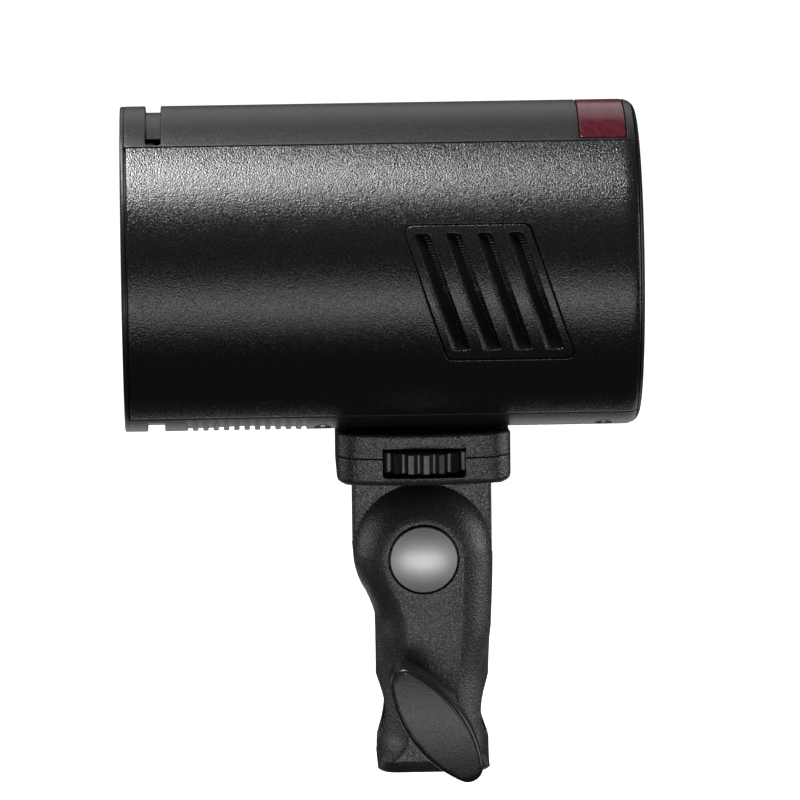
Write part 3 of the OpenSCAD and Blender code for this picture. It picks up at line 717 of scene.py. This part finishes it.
def screw_cutters():
    """Counterbores for the four screws in the platform's underside."""
    head_r = 2.3
    low, high = corners("platform_screws")
    cutters = []
    for x in (low.x + head_r, high.x - head_r):
        for y in (low.y + head_r, high.y - head_r):
            def place(r, z, a, x=x, y=y):
                return Vector((x + r * math.cos(a), y + r * math.sin(a), z))
            cutters.append(lathe(place, [(0.0, 69), (2.5, 69), (2.5, 71.45), (0.0, 71.45)], 32))
    return cutters


def platform():
    saddle_r, seam = 38.85, 0.04

    def saddle(u, v, depth):
        top = min(PLATFORM_TOP, HEAD_Z - math.sqrt(saddle_r ** 2 - min(abs(u), PLATFORM_W / 2) ** 2))
        share = depth / (PLATFORM_TOP - PLATFORM_SEAM)
        return Vector((u, v, top + (PLATFORM_SEAM + seam - top) * share))
    hole = circle((0, PLATFORM_Y), 3.6, 32)
    upper = plate(saddle, [platform_outline(), hole], PLATFORM_TOP - PLATFORM_SEAM, 0.8, 0.25, grid=1.5)
    piece("platform_top", upper, "head", "bracket_plastic", ["platform_upper"], cuts=wheel_cutters())
    lower = plate(flat_face(PLATFORM_SEAM - seam), [platform_outline()], PLATFORM_SEAM - PLATFORM_LOW - seam,
                  0.25, 1.6)
    piece("platform_base", lower, "head", "bracket_plastic", ["platform_lower"],
          cuts=wheel_cutters() + screw_cutters())


def thumbwheel():
    low, high = corners("thumbwheel")
    radius = (high.x - low.x) / 2
    ribs, phase = 28, 1.8
    outline = []
    for i in range(ribs):
        turn = 360 / ribs * i + phase
        for step, groove in ((-4.2, 0), (-3.2, 0.55), (-1.6, 0.95), (0, 1.05), (1.6, 0.95), (3.2, 0.55),
                             (4.2, 0)):
            angle = math.radians(turn + step + 180 / ribs)
            reach = radius - groove
            outline.append(Vector((reach * math.cos(angle), reach * math.sin(angle) + PLATFORM_Y)))
    bore = circle((0, PLATFORM_Y), 3.13, 32)
    wheel = plate(flat_face(WHEEL_Z[1]), [outline, bore], WHEEL_Z[1] - WHEEL_Z[0], 0.35, 0.35)
    piece("wheel", wheel, "thumbwheel", "wheel_plastic", ["thumbwheel"])


def tongue():
    low, high = corners("tilt_tongue")
    r = (high.y - low.y) / 2
    outline = [Vector((PIVOT_Y + r, high.z)), Vector((PIVOT_Y - r, high.z)),
               *arc((PIVOT_Y, PIVOT_Z), r, 180, 360, 40)]
    bore = circle((PIVOT_Y, PIVOT_Z), BOLT_R, 32)
    plank = plate(side_face(high.x), [outline, bore], high.x - low.x, 0.8, 0.8, grid=3.0)
    piece("tongue", plank, "head", "bracket_plastic", ["tilt_tongue"])


def edge_drop(x, crowned, foot):
    """How far the grip's end falls back at a place x.

    It blends from a plain arc to the cheeks' crowned edge, and to the square foot at the bottom.
    """
    plain = FLANK_R - math.sqrt(FLANK_R ** 2 - x ** 2)
    crown = 0.0
    if x > CHEEK_IN:
        top = math.sqrt(CROWN_R ** 2 - (CHEEK_IN - CROWN_X) ** 2)
        crown = top - math.sqrt(CROWN_R ** 2 - (x - CROWN_X) ** 2)
    flat, corner = 10.0, 4.0
    block = corner - math.sqrt(corner ** 2 - (x - flat) ** 2) if x > flat else 0.0
    drop = plain + (crown - plain) * crowned
    return drop + (block - drop) * foot


def grip_ring(z, front, rear, crowned, narrow=0.0, shrink=0.0):
    """One level section of the grip: an arched front and rear cut by two flats."""
    turns = [math.radians(-90 + 180 * k / 30) for k in range(31)]
    across = [GRIP_HALF * math.sin(a) for a in turns]
    points = []
    for sign, limit, order in ((1, rear, across), (-1, front, across[::-1])):
        for x in order:
            drop = edge_drop(abs(x), crowned, 1 - smooth_step((z - 1) / 7)) + shrink
            points.append(Vector((x * (1 - narrow / GRIP_HALF), limit - sign * drop, z)))
    return points


def smooth_step(t):
    t = min(1.0, max(0.0, t))
    return t * t * (3 - 2 * t)


def bracket():
    """The grip lofted level by level, the two cheeks added, then the slot and every bore cut."""
    rings = []
    for z, narrow, shrink in ((0.0, 1.8, 0.6), (0.5, 1.5, 0.05), (2.9, 0.05, 0.0), (3.3, 0.0, 0.0)):
        rings.append(grip_ring(z, FOOT_FRONT, FOOT_REAR, 0.0, narrow, shrink))
    levels = 26
    for k in range(levels + 1):
        z = 5 + (PIVOT_Z - 5) * k / levels
        front = FOOT_FRONT + (PIVOT_Y - CHEEK_R - FOOT_FRONT) * smooth_step((z - 35) / (PIVOT_Z - 35))
        rear = FOOT_REAR + (PIVOT_Y + CHEEK_R - FOOT_REAR) * smooth_step((z - 16) / (PIVOT_Z - 16))
        rings.append(grip_ring(z, front, rear, smooth_step((z - 22) / (SLOT_FLOOR - 22))))
    turns = [math.radians(CROWN_TURN[0] + (CROWN_TURN[1] - CROWN_TURN[0]) * k / 10) for k in range(11)]
    crown = [(CHEEK_R - CROWN_R + CROWN_R * math.cos(a), CROWN_X + CROWN_R * math.sin(a)) for a in turns]
    face = [(0.0, CHEEK_IN), *crown, (0.0, crown[-1][1])]
    cheeks = [lathe(pivot_turn, [(r, side * x) for r, x in face], 160) for side in (1, -1)]
    opening = rectangle((PIVOT_Y - 25, SLOT_FLOOR), (PIVOT_Y + 25, 90))
    slot = plate(side_face(CHEEK_IN), [opening], 2 * CHEEK_IN, 0)
    upright = lathe(lambda r, z, a: Vector((r * math.cos(a), r * math.sin(a), z)),
                    [(0.0, -1), (UPRIGHT_R + 0.6, -1), (UPRIGHT_R, 0.6), (UPRIGHT_R, UPRIGHT_DEPTH),
                     (0.0, UPRIGHT_DEPTH)], 96)
    cross = lathe(lambda r, y, a: Vector((r * math.cos(a), y, CROSS_Z + r * math.sin(a))),
                  [(0.0, -30), (CROSS_R, -30), (CROSS_R, 30), (0.0, 30)], 96)
    seat = lathe(knob_turn, [(0.0, 5), (5.4, 5), (5.4, 10.2), (6.0, 10.2), (6.0, 20), (0.0, 20)], 48)
    pocket = lathe(pivot_turn, [(0.0, 9.5), (POCKET_R, 9.46), (POCKET_R, 20), (0.0, 20)], 128)
    bore = lathe(pivot_turn, [(0.0, -20), (BOLT_R, -20), (BOLT_R, 20), (0.0, 20)], 48)
    piece("bracket", loft(rings), "bracket", "bracket_plastic", ["bracket_base"],
          adds=cheeks, cuts=[slot, upright, cross, seat, pocket, bore], bevel=0.3)


def cap():
    low, high = corners("pivot_cap")
    r = (high.y - low.y) / 2
    profile = [(0.0, low.x), (r, low.x), (r, low.x + 1.4)]
    profile += [((r - 0.1) * (1 - k / 8), low.x + 1.6 + 1.5 * (1 - (1 - k / 8) ** 2)) for k in range(9)]
    piece("cap", lathe(pivot_turn, profile, 96), "bracket", "cap_silver", ["pivot_cap"])


def oval(length, width):
    """Two long side arcs and two small end arcs, all tangent, anticlockwise from the +u end."""
    end_r = width * 0.26
    end_x = length / 2 - end_r
    side_r = (end_x ** 2 + (width / 2) ** 2 - end_r ** 2) / (width - 2 * end_r)
    side_y = side_r - width / 2
    tip = math.degrees(math.atan2(side_y, end_x))
    points = arc((end_x, 0), end_r, -tip, tip, 10)
    points += arc((0, -side_y), side_r, tip, 180 - tip, 24)[1:-1]
    points += arc((-end_x, 0), end_r, 180 - tip, 180 + tip, 10)
    points += arc((0, side_y), side_r, 180 + tip, 360 - tip, 24)[1:-1]
    return points


def paddle(node, centre):
    """An oval domed knob with a raised face inside its rim."""
    low, high = corners(node)
    side = 1 if high.x > 0 else -1
    face = high.x if side > 0 else low.x
    turn = Matrix.Rotation(math.radians(PADDLE_ANGLE), 2)

    def outline(grow):
        return [turn @ p + Vector(centre) for p in oval(PADDLE_L + 2 * grow, PADDLE_W + 2 * grow)]

    def place(u, v, depth):
        fall = PADDLE_DOME * ((u - centre[0]) ** 2 + (v - centre[1]) ** 2) / (PADDLE_L / 2) ** 2
        return Vector((face - side * (depth + fall), u, v))
    body_part = plate(lambda u, v, depth: place(u, v, depth + 0.25), [outline(0)], PADDLE_THICK, 1.0, 0.8,
                      grid=2.0)
    face_part = plate(place, [outline(-PADDLE_RIM)], 0.8, 0.2, grid=2.0)
    return joined(body_part, face_part)


def knobs():
    hub = lathe(knob_turn, [(4.0, 17.6), (6.2, 17.6), (6.2, 21.2), (4.0, 21.2)], 48)
    solid = paddle("stand_knob", (0, KNOB_Z))
    piece("knob", joined(solid, hub), "stand_knob", "knob_plastic", ["stand_knob"])
    solid = paddle("tilt_lever", (PIVOT_Y, PIVOT_Z))
    hub = lathe(pivot_turn, [(BOLT_R, -14.4), (7.4, -14.4), (7.4, -21), (BOLT_R, -21)], 64)
    piece("lever", joined(solid, hub), "tilt_lever", "knob_plastic", ["tilt_lever"])


# ---------------------------------------------------------------- the CAD nodes that stay
def dress_cad_nodes():
    slots = {part["node"]: part["material_slot"] for part in frame["record"]["subparts"]}
    for name, obj in NODES.items():
        for polygon in obj.data.polygons:
            polygon.use_smooth = True
        weld = obj.modifiers.new("weld", "WELD")
        weld.merge_threshold = 0.001 * MM
        edges = obj.modifiers.new("edges", "BEVEL")
        edges.width = 0.2 * MM
        edges.segments = 2
        edges.limit_method = "ANGLE"
        edges.angle_limit = math.radians(35)
        edges.harden_normals = True
        obj.data.materials.clear()
        obj.data.materials.append(MATERIALS[slots[name]])


# ---------------------------------------------------------------- stage, lights and camera
def stage_floor():
    """A pale floor far below that curves up into a round wall. Only the camera sees it."""
    profile = [(0, -0.30), (3.0, -0.30), (4.2, 0.1), (4.6, 1.0), (4.6, 5.0), (0, 5.2)]
    points, faces = lathe(lambda r, z, a: Vector((r * math.cos(a), r * math.sin(a), z)) * 1000, profile, 64)
    floor = raw_object("floor", (points, faces))
    for polygon in floor.data.polygons:
        polygon.use_smooth = True
    material = bpy.data.materials.new("pale_floor")
    material.use_nodes = True
    shader = material.node_tree.nodes["Principled BSDF"]
    shader.inputs["Base Color"].default_value = (0.9, 0.9, 0.9, 1)
    shader.inputs["Emission Color"].default_value = (1, 1, 1, 1)
    shader.inputs["Emission Strength"].default_value = 1.0
    floor.data.materials.append(material)
    floor.visible_diffuse = False
    floor.visible_glossy = False
    floor.visible_transmission = False
    floor.visible_shadow = False


def softbox(name, where, aim, size, strength):
    data = bpy.data.lights.new(name, "AREA")
    data.shape = "RECTANGLE"
    data.size, data.size_y = size
    data.energy = strength
    light = bpy.data.objects.new(name, data)
    light.location = where
    light.rotation_euler = (Vector(aim) - Vector(where)).to_track_quat("-Z", "Y").to_euler()
    light.visible_camera = False
    bpy.context.scene.collection.objects.link(light)


def lights():
    centre = (0, 0, 0.12)
    softbox("overhead", (0.06, -0.3, 1.30), centre, (1.1, 0.24), 36)
    softbox("low_front", (1.25, 0.0, -0.24), centre, (1.4, 0.34), 5.8)
    softbox("behind_above", (-1.2, 0.0, 0.9), centre, (1.6, 0.8), 3.2)
    softbox("behind_below", (-1.0, 0.0, -0.7), centre, (1.6, 0.6), 2.6)
    softbox("left", (-0.1, -1.35, 0.2), centre, (1.0, 0.9), 4.5)
    softbox("right", (0.0, 1.35, 0.15), centre, (1.0, 0.9), 8.0)
    world = bpy.data.worlds.new("studio")
    world.use_nodes = True
    world.node_tree.nodes["Background"].inputs["Color"].default_value = (1, 1, 1, 1)
    world.node_tree.nodes["Background"].inputs["Strength"].default_value = 0.03
    bpy.context.scene.world = world


def camera():
    azimuth, elevation, roll = math.radians(-1.51), math.radians(12.0), math.radians(0.67)
    level_back = Vector((math.cos(azimuth), math.sin(azimuth), 0))
    back = math.cos(elevation) * level_back + Vector((0, 0, math.sin(elevation)))
    level_right = Vector((-math.sin(azimuth), math.cos(azimuth), 0))
    level_up = back.cross(level_right)
    right = math.cos(roll) * level_right - math.sin(roll) * level_up
    up = math.sin(roll) * level_right + math.cos(roll) * level_up
    data = bpy.data.cameras.new("camera")
    data.lens = 316.2
    data.sensor_width = 36
    data.clip_start = 0.05
    eye = bpy.data.objects.new("camera", data)
    matrix = Matrix((right, up, back)).transposed().to_4x4()
    matrix.translation = Vector((1.6132, -0.0494, 0.4302))
    eye.matrix_world = matrix
    bpy.context.scene.collection.objects.link(eye)
    bpy.context.scene.camera = eye
    bpy.context.scene.view_settings.view_transform = "Standard"


side_casings()
top_cover()
bottom_cover()
side_grille()
front_end()
rear_end()
platform()
thumbwheel()
tongue()
bracket()
cap()
knobs()
dress_cad_nodes()
stage_floor()
lights()
camera()
